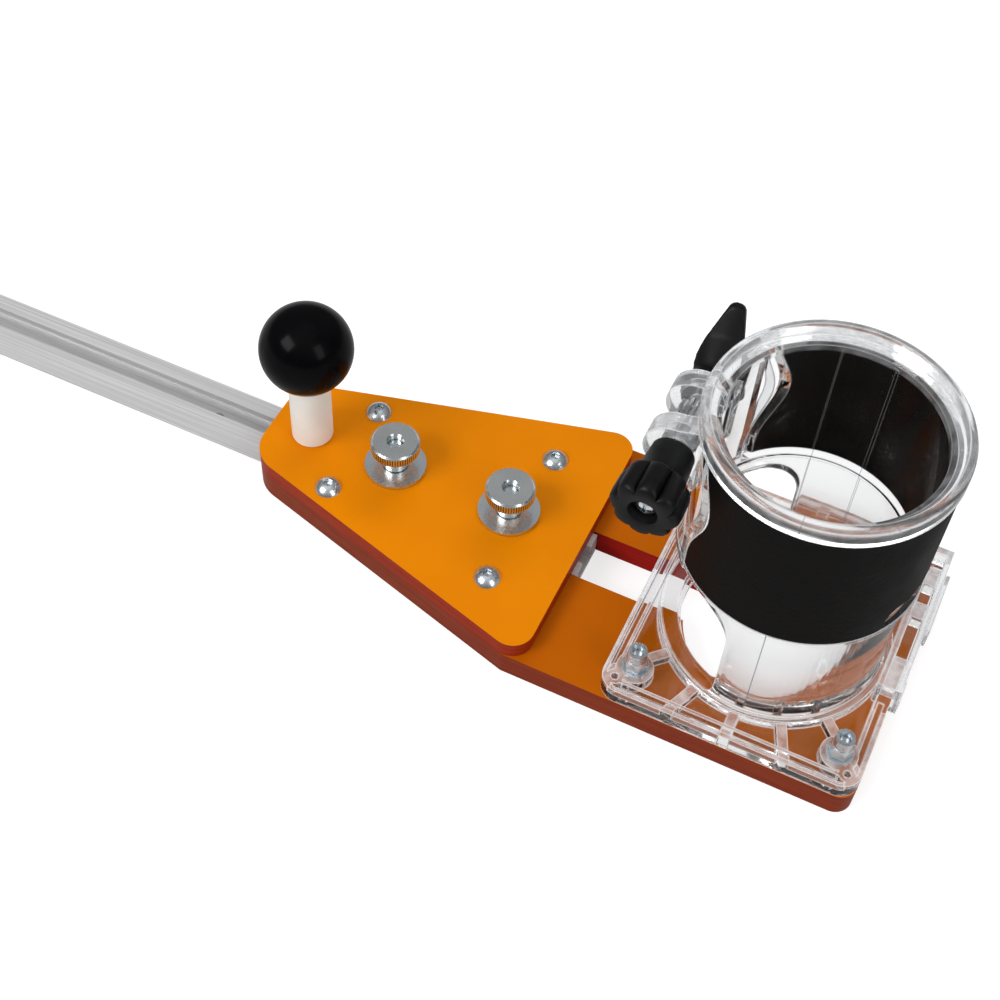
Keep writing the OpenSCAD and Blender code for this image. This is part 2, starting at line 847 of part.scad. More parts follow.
// moulded nut whose two wings sweep outwards, clear of the barrel all the way round
module wing_nut() {
  hub_r = 6.6;
  hub_l = 11;
  wing_t = 5.2;
  y0 = lug_gap + lug_t + 1.2 + seat_gap;
  tip = wing_span / 2;
  tip_y = hub_l - 2.4 + 0.75 * (tip - hub_r);
  color([0.04, 0.04, 0.04])
  translate([-clamp_x, y0, shaft_z])
    difference() {
      union() {
        rotate([-90, 0, 0])
          cylinder(r1 = hub_r + 0.8, r2 = hub_r - 0.8, h = hub_l);
        for (s = [0, 1])
          mirror([0, 0, s])
            translate([-wing_t / 2, 0, 0])
              rotate([90, 0, 90])
                linear_extrude(wing_t)
                  rounded_outline(
                    [[1.2, 0], [hub_l - 0.5, 0], [hub_l - 0.5, 4], [hub_l + 5, hub_r + 1.9],
                     [tip_y + 4.2, tip - 2.4], [tip_y, tip + 0.2], [hub_l + 1, hub_r + 5],
                     [3.5, hub_r - 0.1]],
                    [0, 0, 0, 0, 2, 2, 0, 2.5]);
      }
      rotate([-90, 0, 0])
        translate([0, 0, -1])
          cylinder(r = shaft_d / 2 + run, h = hub_l + 12);
    }
}

// countersunk screws up through the lower plate and the sole
module base_screws() {
  r = base_screw_d / 2;
  color([0.72, 0.72, 0.74])
  base_nut_places() {
    countersink(2 * r, r);
    translate([0, 0, r - eps])
      cylinder(r = r, h = base_top + nut_flange_t + nut_hex_h + 1.4 - r);
  }
}

// tall flanged nuts on the sole
module base_nuts() {
  r = base_screw_d / 2;
  across = 1.75 * base_screw_d;
  color([0.75, 0.78, 0.8])
  base_nut_places()
    translate([0, 0, base_top])
      difference() {
        union() {
          cylinder(r1 = nut_flange_r, r2 = nut_flange_r - 0.3, h = nut_flange_t);
          intersection() {
            translate([0, 0, nut_flange_t - eps])
              cylinder(d = across / cos(30), h = nut_hex_h, $fn = 6);
            translate([0, 0, nut_flange_t - 0.1])
              cylinder(r1 = across / 2 + 1.2, r2 = across / 2 - 0.1, h = nut_hex_h + 0.2);
          }
          translate([0, 0, nut_flange_t + nut_hex_h - 0.1])
            cylinder(r1 = r + 1.3, r2 = r + 1.1, h = nut_collar_h + 0.1);
        }
        translate([0, 0, -1])
          cylinder(r = r + run, h = nut_flange_t + nut_hex_h + nut_collar_h + 2);
      }
}

lower_plate();
upper_plate();
plate_screws();
rail();
pivot_pin();
t_bolt_tail();
t_bolt_router();
lock_washer_tail();
lock_washer_router();
thumb_nut_tail();
thumb_nut_router();
knob_bolt();
knob_spacer();
ball_knob();
knob_insert();
router_base();
base_barrel();
clamp_lugs();
grip_sleeve();
pinion_shaft();
depth_knob();
knob_screw();
clamp_washer();
wing_nut();
base_screws();
base_nuts();
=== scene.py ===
"""Looks of a router circle cutting jig: laminate carriage, T-track rail and clear trim router base.

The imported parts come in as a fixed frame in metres. The sections below follow the order
in which the jig is put together, after the room that it is shown in.
"""

import math

import bmesh
import bpy
import numpy as np
from mathutils import Matrix


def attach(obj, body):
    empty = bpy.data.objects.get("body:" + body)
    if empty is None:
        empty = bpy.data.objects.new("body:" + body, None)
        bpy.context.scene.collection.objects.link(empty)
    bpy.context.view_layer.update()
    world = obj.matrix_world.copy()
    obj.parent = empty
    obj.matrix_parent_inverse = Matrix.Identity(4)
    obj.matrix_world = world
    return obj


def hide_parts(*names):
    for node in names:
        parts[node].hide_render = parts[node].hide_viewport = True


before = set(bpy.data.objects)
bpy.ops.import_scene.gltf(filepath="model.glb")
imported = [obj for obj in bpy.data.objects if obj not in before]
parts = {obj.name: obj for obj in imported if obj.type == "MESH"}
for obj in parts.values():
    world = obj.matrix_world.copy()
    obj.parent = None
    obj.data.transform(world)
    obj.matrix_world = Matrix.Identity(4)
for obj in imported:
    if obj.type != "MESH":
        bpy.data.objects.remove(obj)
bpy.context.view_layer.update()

# ---------------------------------------------------------------------------
# The room: the camera stands in front of the depth knob's side and looks
# down on the jig at a little over 50 degrees, as in the photograph.
# ---------------------------------------------------------------------------
azimuth, elevation, roll = 0.385258, 0.932727, 0.069018
station = np.array([0.0265148, -0.3150424, 0.4792496])
sensor_width, picture_width, focal_pixels = 36, 1000, 1664.998

lens = bpy.data.cameras.new("camera")
lens.lens = focal_pixels * sensor_width / picture_width
lens.sensor_width = sensor_width
lens.clip_start = 0.01
camera = bpy.data.objects.new("camera", lens)
bpy.context.collection.objects.link(camera)
away = np.array(
    [
        math.sin(azimuth) * math.cos(elevation),
        -math.cos(azimuth) * math.cos(elevation),
        math.sin(elevation),
    ]
)
level = np.cross([0, 0, 1], away)
level /= np.linalg.norm(level)
crown = np.cross(away, level)
right = math.cos(roll) * level + math.sin(roll) * crown
above = -math.sin(roll) * level + math.cos(roll) * crown
placed = np.eye(4)
placed[:3, 0], placed[:3, 1], placed[:3, 2], placed[:3, 3] = right, above, away, station
camera.matrix_world = Matrix(placed.tolist())
bpy.context.scene.camera = camera
bpy.context.scene.view_settings.view_transform = "Standard"


def plain_finish(name):
    """A new finish with one surface shader: gives the finish, its node tree and the shader."""
    finish = bpy.data.materials.new(name)
    finish.use_nodes = True
    return finish, finish.node_tree, finish.node_tree.nodes["Principled BSDF"]


def worked(tree, kind, first, second=0.0):
    """One sum on numbers or sockets, of the named kind."""
    sum_node = tree.nodes.new("ShaderNodeMath")
    sum_node.operation = kind
    for slot, value in zip(sum_node.inputs, (first, second)):
        if isinstance(value, (int, float)):
            slot.default_value = value
        else:
            tree.links.new(value, slot)
    return sum_node.outputs[0]


def spread(tree, fac, low, high, start=0.3, end=0.7):
    """A number from low to high as fac goes from start to end."""
    reach = tree.nodes.new("ShaderNodeMapRange")
    reach.inputs["From Min"].default_value = start
    reach.inputs["From Max"].default_value = end
    reach.inputs["To Min"].default_value = low
    reach.inputs["To Max"].default_value = high
    tree.links.new(fac, reach.inputs["Value"])
    return reach.outputs["Result"]


def blend_colours(tree, fac, first, second):
    """A colour from first to second as fac goes from 0 to 1; each is a socket or three numbers."""
    mix = tree.nodes.new("ShaderNodeMix")
    mix.data_type = "RGBA"
    tree.links.new(fac, mix.inputs["Factor"])
    for slot, colour in (("A", first), ("B", second)):
        if isinstance(colour, tuple):
            mix.inputs[slot].default_value = (*colour, 1)
        else:
            tree.links.new(colour, mix.inputs[slot])
    return mix.outputs["Result"]


# White paper on a table, wide enough that its edge is never seen. It shows white
# to the eye and through clear plastic, is dimmer in metal, and keeps a soft shadow.
paper_size, paper_gap = 4.0, 0.0004
plain_glow, mirrored_glow = 0.66, 0.12
corners = np.array([[-1, -1, 0], [1, -1, 0], [1, 1, 0], [-1, 1, 0]]) * paper_size
corners[:, 2] = -paper_gap
paper_mesh = bpy.data.meshes.new("paper")
paper_mesh.from_pydata(corners.tolist(), [], [(0, 1, 2, 3)])
paper = bpy.data.objects.new("paper", paper_mesh)
bpy.context.collection.objects.link(paper)

paper_finish, tree, sheet = plain_finish("white_paper")
sheet.inputs["Base Color"].default_value = (0.5, 0.5, 0.5, 1)
sheet.inputs["Roughness"].default_value = 0.9
sheet.inputs["Specular IOR Level"].default_value = 0.1
rays = tree.nodes.new("ShaderNodeLightPath")
seen = worked(tree, "MAXIMUM", rays.outputs["Is Camera Ray"], rays.outputs["Is Transmission Ray"])
unmirrored = worked(tree, "LESS_THAN", rays.outputs["Glossy Depth"], 0.5)
shown = worked(tree, "MULTIPLY", seen, unmirrored)
direct = worked(tree, "SUBTRACT", 1.0, rays.outputs["Is Diffuse Ray"])
glow = tree.nodes.new("ShaderNodeEmission")
glow.inputs["Color"].default_value = (1, 1, 1, 1)
strength = worked(tree, "MULTIPLY", spread(tree, shown, mirrored_glow, plain_glow, 0, 1), direct)
tree.links.new(strength, glow.inputs["Strength"])
both = tree.nodes.new("ShaderNodeAddShader")
tree.links.new(sheet.outputs[0], both.inputs[0])
tree.links.new(glow.outputs[0], both.inputs[1])
tree.links.new(both.outputs[0], tree.nodes["Material Output"].inputs["Surface"])
paper_mesh.materials.append(paper_finish)


def sky_tones(tree, height, low, between, high, cool=1.0):
    """Greys by the height looked at: low is the tone at 0, the rest are pairs of a height and a tone.

    The tones between are multiplied by cool in their blue.
    """
    band = tree.nodes.new("ShaderNodeValToRGB")
    first, last = band.color_ramp.elements
    first.position, first.color = 0.0, (low, low, low, 1)
    last.position, last.color = high[0], (high[1], high[1], high[1], 1)
    for spot, tone in between:
        band.color_ramp.elements.new(spot).color = (tone, tone, tone * cool, 1)
    tree.links.new(height, band.inputs[0])
    return band.outputs["Color"]


# Soft daylight all round. Metal and clear plastic see a dim band at the
# horizon, which draws the dark lines along their edges.
diffuse_tone = (0.58, 0.58, 0.58)
room = bpy.data.worlds.new("room")
bpy.context.scene.world = room
room.use_nodes = True
tree = room.node_tree
sky = tree.nodes["Background"]
sky.inputs["Strength"].default_value = 1.0
way = tree.nodes.new("ShaderNodeTexCoord")
split = tree.nodes.new("ShaderNodeSeparateXYZ")
tree.links.new(way.outputs["Generated"], split.inputs[0])
height = split.outputs["Z"]
mirrored = sky_tones(
    tree, height, 0.5, ((0.05, 0.12), (0.34, 0.16), (0.6, 0.28), (0.84, 0.34)), (0.99, 0.7), cool=1.02
)
seen_through = sky_tones(tree, height, 0.9, ((0.04, 0.30), (0.25, 0.42), (0.5, 0.8)), (0.9, 1))
rays = tree.nodes.new("ShaderNodeLightPath")
clearer = blend_colours(tree, rays.outputs["Is Transmission Ray"], mirrored, seen_through)
toned = blend_colours(tree, rays.outputs["Is Glossy Ray"], diffuse_tone, clearer)
plain = blend_colours(tree, rays.outputs["Is Camera Ray"], toned, (1, 1, 1))
tree.links.new(plain, sky.inputs["Color"])


def softbox(name, place, target, width, depth, watts):
    """A flat lamp: its -Z axis runs from place to target, its size is width by depth in metres."""
    lamp = bpy.data.lights.new(name, "AREA")
    lamp.shape = "RECTANGLE"
    lamp.size, lamp.size_y = width, depth
    lamp.energy = watts
    box = bpy.data.objects.new(name, lamp)
    bpy.context.collection.objects.link(box)
    back = np.subtract(place, target)
    back = back / np.linalg.norm(back)
    side = np.cross([0.0, 0.0, 1.0], back)
    side = side / np.linalg.norm(side)
    up = np.cross(back, side)
    turned = np.eye(4)
    turned[:3, 0], turned[:3, 1], turned[:3, 2], turned[:3, 3] = side, up, back, place
    box.matrix_world = Matrix(turned.tolist())
    return box


middle = (-0.1, 0.0, 0.03)
softbox("lamp_front_left", (-0.9, -1.0, 1.2), middle, 0.9, 0.7, 15)
softbox("lamp_right", (1.1, -0.5, 0.9), middle, 0.5, 0.9, 5)
# The lamp behind only fills: it isn't seen in the polished ball or the bright discs.
softbox("lamp_back", (-0.2, 1.3, 1.0), middle, 1.4, 0.4, 8).visible_glossy = False

# ---------------------------------------------------------------------------
# Lower plate: 10 mm phenolic laminate, orange on its faces and red-brown
# through its core, sawn and routed to shape, with a channel for the rail.
# ---------------------------------------------------------------------------


def grain(tree, scale, stretch=(1, 1, 1), detail=4.0):
    """Cloudy grain from 0 to 1, in cells of 1/scale metres; stretch multiplies x, y and z."""
    place = tree.nodes.new("ShaderNodeTexCoord")
    fit = tree.nodes.new("ShaderNodeMapping")
    fit.inputs["Scale"].default_value = stretch
    cloud = tree.nodes.new("ShaderNodeTexNoise")
    cloud.inputs["Scale"].default_value = scale
    cloud.inputs["Detail"].default_value = detail
    tree.links.new(place.outputs["Object"], fit.inputs["Vector"])
    tree.links.new(fit.outputs["Vector"], cloud.inputs["Vector"])
    return cloud.outputs["Fac"]


def tones(tree, fac, stops):
    """Colours along fac: stops are pairs of a place from 0 to 1 and a colour."""
    band = tree.nodes.new("ShaderNodeValToRGB")
    ramp = band.color_ramp
    while len(ramp.elements) < len(stops):
        ramp.elements.new(0.5)
    for element, (spot, colour) in zip(ramp.elements, stops):
        element.position = spot
        element.color = (*colour, 1)
    tree.links.new(fac, band.inputs["Fac"])
    return band.outputs["Color"]


def relief(tree, shader, height, depth, strength, below=None):
    """Bumps of the given depth in metres where height goes from 0 to 1."""
    bump = tree.nodes.new("ShaderNodeBump")
    bump.inputs["Distance"].default_value = depth
    bump.inputs["Strength"].default_value = strength
    tree.links.new(height, bump.inputs["Height"])
    if below is not None:
        tree.links.new(below, bump.inputs["Normal"])
    tree.links.new(bump.outputs["Normal"], shader.inputs["Normal"])
    return bump.outputs["Normal"]


def along(tree, axis, kind="Object"):
    """One coordinate of the surface point, or of its normal."""
    place = tree.nodes.new("ShaderNodeTexCoord")
    split = tree.nodes.new("ShaderNodeSeparateXYZ")
    tree.links.new(place.outputs[kind], split.inputs[0])
    return split.outputs[axis]


def upright(tree, lean):
    """1 on faces whose normal rises or falls by less than lean, else 0."""
    return worked(tree, "LESS_THAN", worked(tree, "ABSOLUTE", along(tree, "Z", "Normal")), lean)


def all_of(tree, *tests):
    """1 where every test holds: the product of the tests."""
    held = tests[0]
    for test in tests[1:]:
        held = worked(tree, "MULTIPLY", held, test)
    return held


channel_half = 0.0112  # a little over half the channel's width


def laminate(name, light, dark, edge, edge_dark):
    """Phenolic laminate: a skin on faces that look up or down, pressed layers on the edges.

    light and dark are the skin's tones, edge and edge_dark the core's.
    """
    finish, tree, shader = plain_finish(name)
    mottle = grain(tree, 28, detail=5)
    skin = tones(tree, mottle, [(0.3, dark), (0.7, light)])
    layers = grain(tree, 60, stretch=(0.6, 0.6, 26), detail=3)
    core = tones(tree, layers, [(0.3, edge_dark), (0.62, edge)])
    # Inside the rail's channel the core's faces that look sideways are a deeper red.
    channel_red = tones(tree, layers, [(0.3, (0.30, 0.006, 0.003)), (0.62, (0.40, 0.012, 0.006))])
    inside = worked(tree, "LESS_THAN", worked(tree, "ABSOLUTE", along(tree, "Y")), channel_half)
    facing = worked(tree, "ABSOLUTE", along(tree, "Y", "Normal"))
    sideways = worked(tree, "GREATER_THAN", facing, 0.9)
    core = blend_colours(tree, all_of(tree, inside, sideways), core, channel_red)
    upward = worked(tree, "ABSOLUTE", along(tree, "Z", "Normal"))
    flat = spread(tree, upward, 0, 1, 0.45, 0.75)
    colour = blend_colours(tree, flat, core, skin)
    tree.links.new(colour, shader.inputs["Base Color"])
    rub = grain(tree, 240, detail=6)
    gloss = spread(tree, rub, 0.30, 0.42)
    tree.links.new(gloss, shader.inputs["Roughness"])
    shader.inputs["Specular IOR Level"].default_value = 0.05
    sawn = grain(tree, 900, stretch=(1, 1, 0.08), detail=2)
    pressed = relief(tree, shader, sawn, 0.00004, 0.35)
    fine = grain(tree, 1600, detail=3)
    relief(tree, shader, fine, 0.00002, 0.3, pressed)
    return finish


# The lower plate's laminate is a darker copy of the upper plate's: painted shade.
shaded_sole_finish = laminate(
    "laminate_sole",
    light=(0.49, 0.112, 0.0005),
    dark=(0.43, 0.093, 0.0003),
    edge=(0.25, 0.040, 0.012),
    edge_dark=(0.19, 0.022, 0.008),
)


def dress(name, finish):
    """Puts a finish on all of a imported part's faces."""
    for slot in parts[name].material_slots:
        slot.material = finish


dress("lower_plate", shaded_sole_finish)

# ---------------------------------------------------------------------------
# Upper plate: 6.4 mm of the same laminate without the lower plate's painted shade,
# so lighter, screwed down over the rail so that the two plates form its channel.
# ---------------------------------------------------------------------------
top_finish = laminate(
    "laminate_top",
    light=(0.74, 0.222, 0.0004),
    dark=(0.69, 0.198, 0.0003),
    edge=(0.34, 0.034, 0.008),
    edge_dark=(0.27, 0.017, 0.004),
)
dress("upper_plate", top_finish)

# ---------------------------------------------------------------------------
# Fasteners: cross-recess button screws, large washers, T-bolts and knurled
# thumb nuts, of mild steel with bright zinc plate, bluish and a little uneven.
# ---------------------------------------------------------------------------


def bright_metal(name, light, dark, low, high):
    """Metal, cloudy in tone, with painted shade in recesses; low and high are the ends of its
    roughness.
    """
    finish, tree, shader = plain_finish(name)
    shader.inputs["Metallic"].default_value = 1.0
    cloud = grain(tree, 110, detail=3)
    colour = tones(tree, cloud, [(0.32, dark), (0.68, light)])
    # Painted shade: where little is open round a point within 2 mm, the colour goes towards near
    # black.
    open_sky = tree.nodes.new("ShaderNodeAmbientOcclusion")
    open_sky.inputs["Distance"].default_value = 0.002
    open_sky.samples = 6
    painted_recess_shade = spread(tree, open_sky.outputs["AO"], 0.9, 0.0, 0.25, 0.62)
    colour = blend_colours(tree, painted_recess_shade, colour, (0.03, 0.03, 0.033))
    tree.links.new(colour, shader.inputs["Base Color"])
    worn = grain(tree, 300, detail=3)
    gloss = spread(tree, worn, low, high)
    tree.links.new(gloss, shader.inputs["Roughness"])
    pits = grain(tree, 2600, detail=3)
    relief(tree, shader, pits, 0.000004, 0.25)
    return finish


zinc_finish = bright_metal("bright_zinc", (0.80, 0.85, 0.88), (0.70, 0.77, 0.82), 0.22, 0.30)
for name in (
    "plate_screws",
    "t_bolt_tail",
    "t_bolt_router",
    "lock_washer_tail",
    "lock_washer_router",
    "knob_bolt",
    "knob_screw",
    "clamp_washer",
    "base_screws",
    "base_nuts",
):
    dress(name, zinc_finish)


def off_axis(tree, centre_x=0.0):
    """Distance in metres from the upright line through centre_x on the x axis."""
    east = worked(tree, "POWER", worked(tree, "SUBTRACT", along(tree, "X"), centre_x), 2)
    north = worked(tree, "POWER", along(tree, "Y"), 2)
    return worked(tree, "SQRT", worked(tree, "ADD", east, north))


groove_radius, ridge_radius, collar_radius = 0.00842, 0.0086, 0.0076


def knurled(name, axis_x):
    """The same zinc, with painted shade in the grooves of the knurl that runs round an upright axis.
    """
    finish = bright_metal(name, (0.78, 0.81, 0.80), (0.69, 0.73, 0.73), 0.22, 0.30)
    tree = finish.node_tree
    shader = tree.nodes["Principled BSDF"]
    # Painted shade: knurl faces that lie in towards the axis are blended to near black.
    away = off_axis(tree, axis_x)
    on_disc = worked(tree, "GREATER_THAN", away, collar_radius)
    groove_shade_depth = spread(tree, away, 1, 0, groove_radius, ridge_radius)
    grooves = all_of(tree, groove_shade_depth, upright(tree, 0.35), on_disc)
    colour = shader.inputs["Base Color"].links[0].from_socket
    shaded = blend_colours(tree, grooves, colour, (0.04, 0.035, 0.03))
    tree.links.new(shaded, shader.inputs["Base Color"])
    return finish


dress("thumb_nut_tail", knurled("knurled_zinc_tail", -0.1415))
dress("thumb_nut_router", knurled("knurled_zinc_router", -0.0977))

# ---------------------------------------------------------------------------
# Rail: a mill-finish aluminium T-track, extruded, so fine die lines run
# along it; it is sawn to length and drilled for the pivot pin.
# ---------------------------------------------------------------------------
finish, tree, shader = plain_finish("mill_aluminium")
shader.inputs["Metallic"].default_value = 0.55
lines = grain(tree, 40, stretch=(0.25, 34, 34), detail=5)
colour = tones(tree, lines, [(0.36, (0.64, 0.64, 0.645)), (0.64, (0.82, 0.82, 0.825))])
tree.links.new(colour, shader.inputs["Base Color"])
tree.links.new(spread(tree, lines, 0.42, 0.56), shader.inputs["Roughness"])
fine = relief(tree, shader, lines, 0.00001, 0.25)
scuffs = grain(tree, 90, stretch=(1, 3, 3), detail=6)
relief(tree, shader, scuffs, 0.00001, 0.12, fine)
dress("rail", finish)

# ---------------------------------------------------------------------------
# Pivot pin: turned steel, free to drop into a hole in the workpiece. The
# depth drive's shaft is of the same steel.
# ---------------------------------------------------------------------------
steel_finish = bright_metal("turned_steel", (0.56, 0.56, 0.57), (0.42, 0.42, 0.43), 0.24, 0.4)
dress("pivot_pin", steel_finish)
dress("pinion_shaft", steel_finish)

# ---------------------------------------------------------------------------
# Handle: a polished black phenolic ball with a brass insert, on a white nylon
# spacer that a long bolt holds to the tail of the carriage.
# ---------------------------------------------------------------------------
finish, tree, shader = plain_finish("white_nylon")
shade = grain(tree, 90, detail=4)
tree.links.new(
    tones(tree, shade, [(0.3, (0.79, 0.79, 0.73)), (0.7, (0.86, 0.86, 0.81))]),
    shader.inputs["Base Color"],
)
rings = grain(tree, 60, stretch=(0.2, 0.2, 40), detail=3)
tree.links.new(spread(tree, rings, 0.32, 0.45), shader.inputs["Roughness"])
shader.inputs["Subsurface Weight"].default_value = 0.15
shader.inputs["Subsurface Scale"].default_value = 0.002
relief(tree, shader, rings, 0.00003, 0.3)
dress("knob_spacer", finish)

finish, tree, shader = plain_finish("polished_phenolic")
haze = grain(tree, 120, detail=5)
tree.links.new(
    tones(tree, haze, [(0.3, (0.0015, 0.0015, 0.002)), (0.7, (0.003, 0.003, 0.0035))]),
    shader.inputs["Base Color"],
)
tree.links.new(spread(tree, haze, 0.15, 0.22), shader.inputs["Roughness"])
shader.inputs["Specular IOR Level"].default_value = 0.05
relief(tree, shader, grain(tree, 300, detail=2), 0.00001, 0.15)
dress("ball_knob", finish)

brass_finish = bright_metal("turned_brass", (0.72, 0.52, 0.22), (0.6, 0.41, 0.15), 0.2, 0.35)
dress("knob_insert", brass_finish)

# ---------------------------------------------------------------------------
# Clear router base: one polycarbonate moulding of sole, split barrel and
# clamp lugs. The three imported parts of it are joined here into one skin, so
# that no wall shows inside the plastic.
# ---------------------------------------------------------------------------
sole_underside, barrel_foot, barrel_wall = 0.01, 0.0165, 0.0362
air_gap, foot_sunk, lug_sunk = 0.00005, 0.0003, 0.0004
touch = 0.00002


def copied(name, moved):
    """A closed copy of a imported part's mesh, its points moved by a function of the whole array."""
    mesh = parts[name].data.copy()
    piece = bpy.data.objects.new(name + "_copy", mesh)
    bpy.context.collection.objects.link(piece)
    points = np.empty(len(mesh.vertices) * 3)
    mesh.vertices.foreach_get("co", points)
    points = moved(points.reshape(-1, 3))
    mesh.vertices.foreach_set("co", points.ravel())
    if "custom_normal" in mesh.attributes:
        mesh.attributes.remove(mesh.attributes["custom_normal"])
    weld = piece.modifiers.new("weld", "WELD")
    weld.merge_threshold = 0.000002
    return piece


def lifted(points):
    """The sole's underside is raised, so that air lies between it and the plate."""
    points[:, 2] += air_gap * (points[:, 2] < sole_underside + touch)
    return points


def barrel_sunk(points):
    """The barrel's lower end goes a little into the sole."""
    points[:, 2] -= foot_sunk * (points[:, 2] < barrel_foot + touch)
    return points


def lugs_sunk(points):
    """Lug points on the barrel's outside go a little into its wall."""
    radius = np.hypot(points[:, 0], points[:, 1])
    near = np.abs(radius - barrel_wall) < 0.0003
    points[:, :2] *= np.where(near, (radius - lug_sunk) / radius, 1)[:, None]
    return points


def joined(name, first, others):
    """One closed skin round several overlapping bodies."""
    for other in others:
        union = first.modifiers.new("union", "BOOLEAN")
        union.operation = "UNION"
        union.solver = "MANIFOLD"
        union.object = other
        other.hide_render = True
    bpy.context.view_layer.update()
    worked_out = first.evaluated_get(bpy.context.evaluated_depsgraph_get())
    whole = bpy.data.meshes.new_from_object(worked_out)
    for piece in (first, *others):
        bpy.data.objects.remove(piece)
    whole.name = name
    piece = bpy.data.objects.new(name, whole)
    bpy.context.collection.objects.link(piece)
    return piece


clear_base = joined(
    "clear_base_moulding",
    copied("router_base", lifted),
    [copied("base_barrel", barrel_sunk), copied("clamp_lugs", lugs_sunk)],
)
clear_base.data.shade_smooth()
clear_base.data.set_sharp_from_angle(angle=math.radians(32))


def blend_shaders(tree, fac, first, second):
    """A shader that goes from first to second as fac goes from 0 to 1."""
    mix = tree.nodes.new("ShaderNodeMixShader")
    for value, slot in zip((fac, first, second), mix.inputs):
        tree.links.new(value, slot)
    return mix.outputs[0]


def chalky(tree, colour):
    """A dull surface of one colour."""
    dull = tree.nodes.new("ShaderNodeBsdfDiffuse")
    dull.inputs["Color"].default_value = (*colour, 1)
    return dull.outputs[0]


def higher(tree, value, limit):
    """1 where value is over limit, else 0."""
    return worked(tree, "GREATER_THAN", value, limit)


def lower(tree, value, limit):
    """1 where value is under limit, else 0."""
    return worked(tree, "LESS_THAN", value, limit)


clear_finish, tree, shader = plain_finish("clear_polycarbonate")
shader.inputs["Base Color"].default_value = (0.80, 0.807, 0.812, 1)
shader.inputs["Transmission Weight"].default_value = 1.0
shader.inputs["Specular IOR Level"].default_value = 0.0
flow = grain(tree, 160, detail=4)
tree.links.new(spread(tree, flow, 0.015, 0.06), shader.inputs["Roughness"])
round_edge = tree.nodes.new("ShaderNodeBevel")
round_edge.samples = 4
round_edge.inputs["Radius"].default_value = 0.0008
relief(tree, shader, grain(tree, 45, detail=3), 0.0004, 0.10, round_edge.outputs["Normal"])
# Painted highlight: where two faces meet, a white dull line stands in for the light
# that the moulding's small radius catches.
flat_way = tree.nodes.new("ShaderNodeNewGeometry")
meet = tree.nodes.new("ShaderNodeVectorMath")
meet.operation = "DOT_PRODUCT"
tree.links.new(round_edge.outputs["Normal"], meet.inputs[0])
tree.links.new(flat_way.outputs["True Normal"], meet.inputs[1])
painted_edge_highlight = spread(tree, meet.outputs["Value"], 0.85, 0.0, 0.84, 0.99)
# The rim, the lugs and the tops of the ribs get a patchy white haze: painted highlights and
# reflections.
rim_start, lug_start, lug_face = 0.1136, 0.081, -0.0364
rib_low, rib_high, rib_inner = 0.0152, 0.0232, 0.0375
px, py, pz = along(tree, "X"), along(tree, "Y"), along(tree, "Z")
from_axis = off_axis(tree)
on_rim = worked(tree, "MULTIPLY", higher(tree, pz, rim_start), 0.42)
on_lug = all_of(tree, lower(tree, px, lug_face), higher(tree, pz, lug_start))
on_lug = worked(tree, "MULTIPLY", on_lug, 0.65)
rib_top = all_of(
    tree,
    higher(tree, pz, rib_low),
    lower(tree, pz, rib_high),
    higher(tree, from_axis, rib_inner),
    along(tree, "Z", "Normal"),
)
haze_places = worked(tree, "MAXIMUM", worked(tree, "MAXIMUM", on_rim, on_lug), rib_top)
painted_haze = worked(tree, "MULTIPLY", haze_places, spread(tree, grain(tree, 210, detail=5), 0.10, 0.46))
painted_highlights = worked(tree, "MAXIMUM", painted_edge_highlight, painted_haze)
# Behind the rubber the wall is wetted by it, so it hardly bends or mirrors light.
air_bend, wetted_bend = 1.49, 1.08
sleeve_low, sleeve_high, sleeve_side = 0.0632, 0.1142, -0.0285
outward = worked(
    tree,
    "ADD",
    worked(tree, "MULTIPLY", along(tree, "X", "Normal"), px),
    worked(tree, "MULTIPLY", along(tree, "Y", "Normal"), py),
)
straight_out = worked(tree, "DIVIDE", worked(tree, "ABSOLUTE", outward), from_axis)
wetted = all_of(
    tree,
    upright(tree, 0.1),
    higher(tree, straight_out, 0.92),
    higher(tree, pz, sleeve_low),
    lower(tree, pz, sleeve_high),
    higher(tree, px, sleeve_side),
)
tree.links.new(spread(tree, wetted, air_bend, wetted_bend, 0, 1), shader.inputs["IOR"])
# Dark grey lines run up the barrel at four places, in degrees round it.
bearing = worked(tree, "ARCTAN2", py, px)
marks = None
for degrees in (75, 104, -87, -42):
    off = worked(tree, "ABSOLUTE", worked(tree, "SUBTRACT", bearing, math.radians(degrees)))
    mark = spread(tree, off, 0.5, 0.0, 0.002, 0.0065)
    marks = mark if marks is None else worked(tree, "MAXIMUM", marks, mark)
marks = all_of(tree, marks, upright(tree, 0.3), higher(tree, pz, barrel_foot + 0.001))
# Light from the lamps reaches what lies under the plastic.
through = tree.nodes.new("ShaderNodeBsdfTransparent")
through.inputs["Color"].default_value = (0.94, 0.945, 0.95, 1)
rays = tree.nodes.new("ShaderNodeLightPath")
lamp_light = worked(tree, "MAXIMUM", rays.outputs["Is Shadow Ray"], rays.outputs["Is Diffuse Ray"])
# Painted highlights: the clear plastic gives way to a white dull surface where they lie.
highlighted_glass = blend_shaders(tree, painted_highlights, shader.outputs[0], chalky(tree, (0.93, 0.95, 0.97)))
highlighted_glass = blend_shaders(tree, marks, highlighted_glass, chalky(tree, (0.16, 0.16, 0.16)))
let_in = blend_shaders(tree, lamp_light, highlighted_glass, through.outputs[0])
tree.links.new(let_in, tree.nodes["Material Output"].inputs["Surface"])
clear_base.data.materials.clear()
clear_base.data.materials.append(clear_finish)
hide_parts("router_base", "base_barrel", "clamp_lugs")
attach(clear_base, "jig_body")

